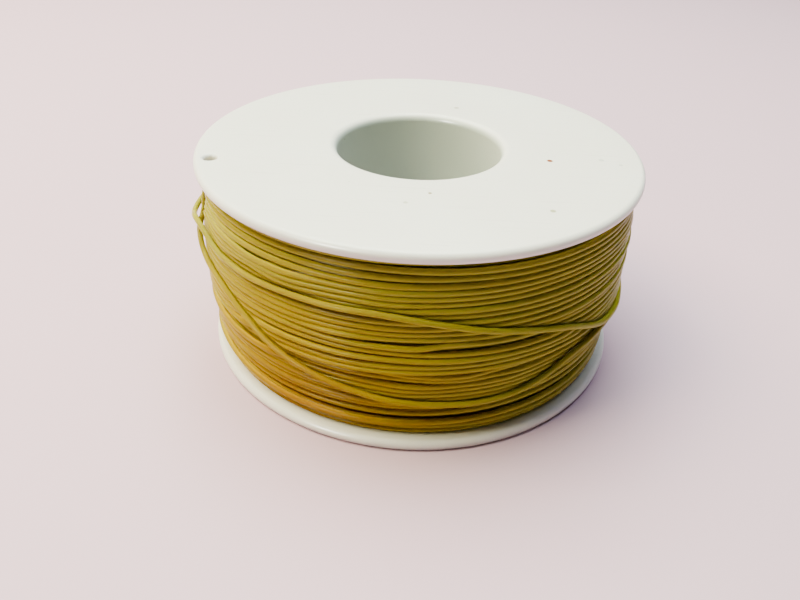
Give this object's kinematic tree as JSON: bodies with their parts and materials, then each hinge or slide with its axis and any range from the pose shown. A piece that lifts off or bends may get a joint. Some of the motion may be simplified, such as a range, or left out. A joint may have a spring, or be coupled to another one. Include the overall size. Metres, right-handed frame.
{
  "type": "spool of hook-up wire",
  "caption": "Flat round spool with thin flanges and a wide through bore, full of thin insulated wire, for feeding wire to a bench or a wiring job.",
  "frame": {"origin": "middle of the lower flange's outer face, on the spool's axis", "axes": "+Z along the spool's axis, from the flange it rests on to the other flange; -Y towards the viewer's side, where the slack turn crosses the winding; +X to that viewer's right"},
  "size_m": [0.09, 0.09, 0.0426],
  "materials": {
    "white_plastic": "satin moulded plastic with fine scuffs",
    "yellow_wire": "semi-gloss thin insulation that shows the twist of the strands inside"
  },
  "bodies": {
    "root": {"upper_spool_half": "white_plastic", "lower_spool_half": "white_plastic", "wire_winding": "yellow_wire", "slack_turn": "yellow_wire", "wire_end": "yellow_wire"}
  },
  "joints": []
}
